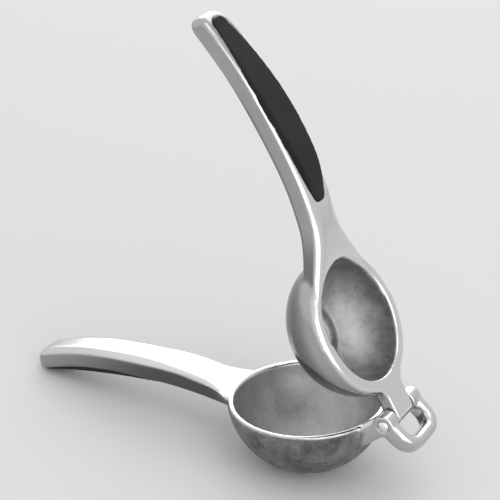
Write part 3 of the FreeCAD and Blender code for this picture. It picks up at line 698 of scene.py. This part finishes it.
@dataclass
class HingePin:
    """The riveted hinge pin: a turned shank with a domed head at each end."""

    at_mm: tuple[float, float, float]
    radius: float = 2.5
    half_length: float = 15.5
    dome: float = 1.0
    steps: int = 64
    dome_points: int = 9

    def build(self, finish: TurnedSteel) -> bpy.types.Object:
        """Spins the pin's profile about its axis and dresses it.

        Args:
            finish: The pin's steel.

        Returns:
            The pin.
        """
        dome_radius = (self.radius**2 + self.dome**2) / (2 * self.dome)
        half_angle = math.asin(self.radius / dome_radius)
        rise = self.half_length + self.dome - dome_radius
        turns = [half_angle * step / self.dome_points for step in range(self.dome_points + 1)]
        arc = [(dome_radius * math.sin(turn), rise + dome_radius * math.cos(turn)) for turn in turns]
        profile = arc + [(across, -along) for across, along in reversed(arc)]
        mesh = bpy.data.meshes.new("riveted_pin")
        shape = bmesh.new()
        centre = Vector(self.at_mm) * MM
        points = [shape.verts.new(centre + Vector((across, along, 0)) * MM) for across, along in profile]
        edges = [shape.edges.new(pair) for pair in zip(points, points[1:])]
        bmesh.ops.spin(shape, geom=points + edges, cent=centre, axis=(0, 1, 0), angle=2 * math.pi,
                       steps=self.steps, use_merge=True)
        bmesh.ops.remove_doubles(shape, verts=shape.verts, dist=WELD_MM * MM)
        bmesh.ops.recalc_face_normals(shape, faces=shape.faces)
        for face in shape.faces:
            face.smooth = True
        shape.to_mesh(mesh)
        shape.free()
        mesh.materials.append(finish.material(centre))
        pin = link_piece("riveted_pin", mesh)
        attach(pin, "lower")
        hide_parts("hinge_pin")
        return pin


@dataclass(frozen=True)
class SoftBox:
    """A large soft lamp: where it stands, its size and how bright its face is against white paper."""

    name: str
    at: tuple[float, float, float]
    width: float
    height: float
    face: float


@dataclass
class Studio:
    """A pale floor, soft lamps, a plain surround and the camera."""

    floor_colour: str = "#CAC9C8"
    floor_radius: float = 6.0
    surround_bright: float = 0.95
    surround_dim: float = 0.72
    dim_way: tuple[float, float, float] = (0.6, 0.77, 0.2)
    dim_range: tuple[float, float] = (0.3, 0.95)
    aim: tuple[float, float, float] = (-0.0335346, 0.0, 0.0949771)
    azimuth_deg: float = 26.58
    elevation_deg: float = 27.654
    roll_deg: float = 4.168
    distance: float = 0.70614
    focal_px: float = 1625.97
    picture_px: float = 500.0
    sensor_mm: float = 36.0
    lamps: list[SoftBox] = field(default_factory=lambda: [
        SoftBox("back_soft_box", (-0.7, 1.25, 0.85), 1.8, 1.3, 1.3),
        SoftBox("top_soft_box", (0.3, -0.1, 1.7), 1.0, 1.0, 1.2),
        SoftBox("right_soft_box", (1.15, -0.8, 0.75), 1.6, 1.6, 1.3),
    ])

    def build(self) -> None:
        """Makes the floor, the lamps, the surround and the camera."""
        self.make_floor()
        for lamp in self.lamps:
            self.make_lamp(lamp)
        self.make_surround()
        self.make_camera()
        bpy.context.scene.view_settings.view_transform = "Standard"

    def make_floor(self) -> None:
        """A wide round sheet of matte pale board."""
        mesh = bpy.data.meshes.new("floor")
        shape = bmesh.new()
        bmesh.ops.create_circle(shape, cap_ends=True, segments=96, radius=self.floor_radius)
        shape.to_mesh(mesh)
        shape.free()
        material, tree = new_material("matte_pale_board")
        surface = add_node(tree, "ShaderNodeBsdfPrincipled", inputs={
            "Base Color": linear(self.floor_colour), "Roughness": 0.9, "Specular IOR Level": 0.1})
        add_node(tree, "ShaderNodeOutputMaterial", inputs={"Surface": surface.outputs["BSDF"]})
        mesh.materials.append(material)
        link_piece("floor", mesh)

    def make_lamp(self, box: SoftBox) -> None:
        """Adds one soft box, turned to the press.

        Args:
            box: Its place, size and brightness.
        """
        data = bpy.data.lights.new(box.name, "AREA")
        data.shape = "RECTANGLE"
        data.size = box.width
        data.size_y = box.height
        data.energy = box.face * math.pi * box.width * box.height
        lamp = bpy.data.objects.new(box.name, data)
        bpy.context.scene.collection.objects.link(lamp)
        lamp.location = box.at
        lamp.rotation_euler = (Vector(self.aim) - Vector(box.at)).to_track_quat("-Z", "Y").to_euler()

    def make_surround(self) -> None:
        """A plain pale studio all round, dimmer on the side that the cup's flat top mirrors."""
        world = bpy.data.worlds.new("studio")
        bpy.context.scene.world = world
        world.use_nodes = True
        tree = world.node_tree
        tree.nodes.clear()
        way = add_node(tree, "ShaderNodeTexCoord").outputs["Generated"]
        along = add_node(tree, "ShaderNodeVectorMath", {"operation": "DOT_PRODUCT"}, {
            0: way, 1: self.dim_way})
        share = add_node(tree, "ShaderNodeMapRange", {"interpolation_type": "SMOOTHSTEP"}, {
            "Value": along.outputs["Value"], "From Min": self.dim_range[0], "From Max": self.dim_range[1],
            "To Min": self.surround_bright, "To Max": self.surround_dim})
        background = add_node(tree, "ShaderNodeBackground", inputs={
            "Color": grey(1.0), "Strength": share.outputs["Result"]})
        add_node(tree, "ShaderNodeOutputWorld", inputs={"Surface": background.outputs["Background"]})

    def make_camera(self) -> None:
        """Stands the camera at the photograph's place, turned by its small roll."""
        azimuth, elevation = math.radians(self.azimuth_deg), math.radians(self.elevation_deg)
        back = Vector((math.sin(azimuth) * math.cos(elevation), -math.cos(azimuth) * math.cos(elevation),
                       math.sin(elevation)))
        right = Vector((math.cos(azimuth), math.sin(azimuth), 0))
        upright = Matrix((right, back.cross(right), back)).transposed()
        roll = Matrix.Rotation(math.radians(self.roll_deg), 3, "Z")
        data = bpy.data.cameras.new("camera")
        data.sensor_width = self.sensor_mm
        data.lens = self.focal_px / self.picture_px * self.sensor_mm
        data.clip_start = 0.01
        camera = bpy.data.objects.new("camera", data)
        bpy.context.scene.collection.objects.link(camera)
        place = Matrix.Translation(Vector(self.aim) + back * self.distance)
        camera.matrix_world = place @ (upright @ roll).to_4x4()
        bpy.context.scene.camera = camera


def main() -> None:
    """Builds the press and its studio in order."""
    logging.basicConfig(level=logging.INFO, format="%(name)s: %(message)s")
    metal = CastAluminium().material()
    rubber = SoftGrip().material()
    levers = [
        # The side, under and tip shares set how much painted shade each casting gets.
        LowerLever(name="lower", body="lower", turn_deg=-6.7967, rim_centre_mm=(0.3069, 0.0, 31.8012),
                   side_shade_share=1.0, under_shade_share=1.0, side_facing=(0.98, 0.1),
                   tip=PaintedTipShade(start=-70.0, end=-135.0, share=0.35, blend=0.6),
                   neck=NeckBlend(far=62.0, full=50.0, back=36.6, end=34.9)),
        UpperLever(name="upper", body="upper", turn_deg=55.2033, rim_centre_mm=(15.6285, 0.0, 73.9281),
                   side_shade_share=0.5, under_shade_share=0.9, side_facing=(0.75, 0.1),
                   tip=PaintedTipShade(start=-96.0, end=-122.0, share=0.5, blend=1.0),
                   neck=NeckBlend(far=58.0, full=48.0, back=26.6, end=24.8)),
    ]
    pieces = [piece for lever in levers for piece in lever.build(metal, rubber)]
    hinge_at = tuple(value / MM for value in frame["joints"][0]["pos_m"])
    pieces.append(HingePin(hinge_at).build(TurnedSteel()))
    for piece in pieces:
        log.info("%s: %d faces", piece.name, len(piece.data.polygons))
    Studio().build()


if __name__ == "__main__":
    main()
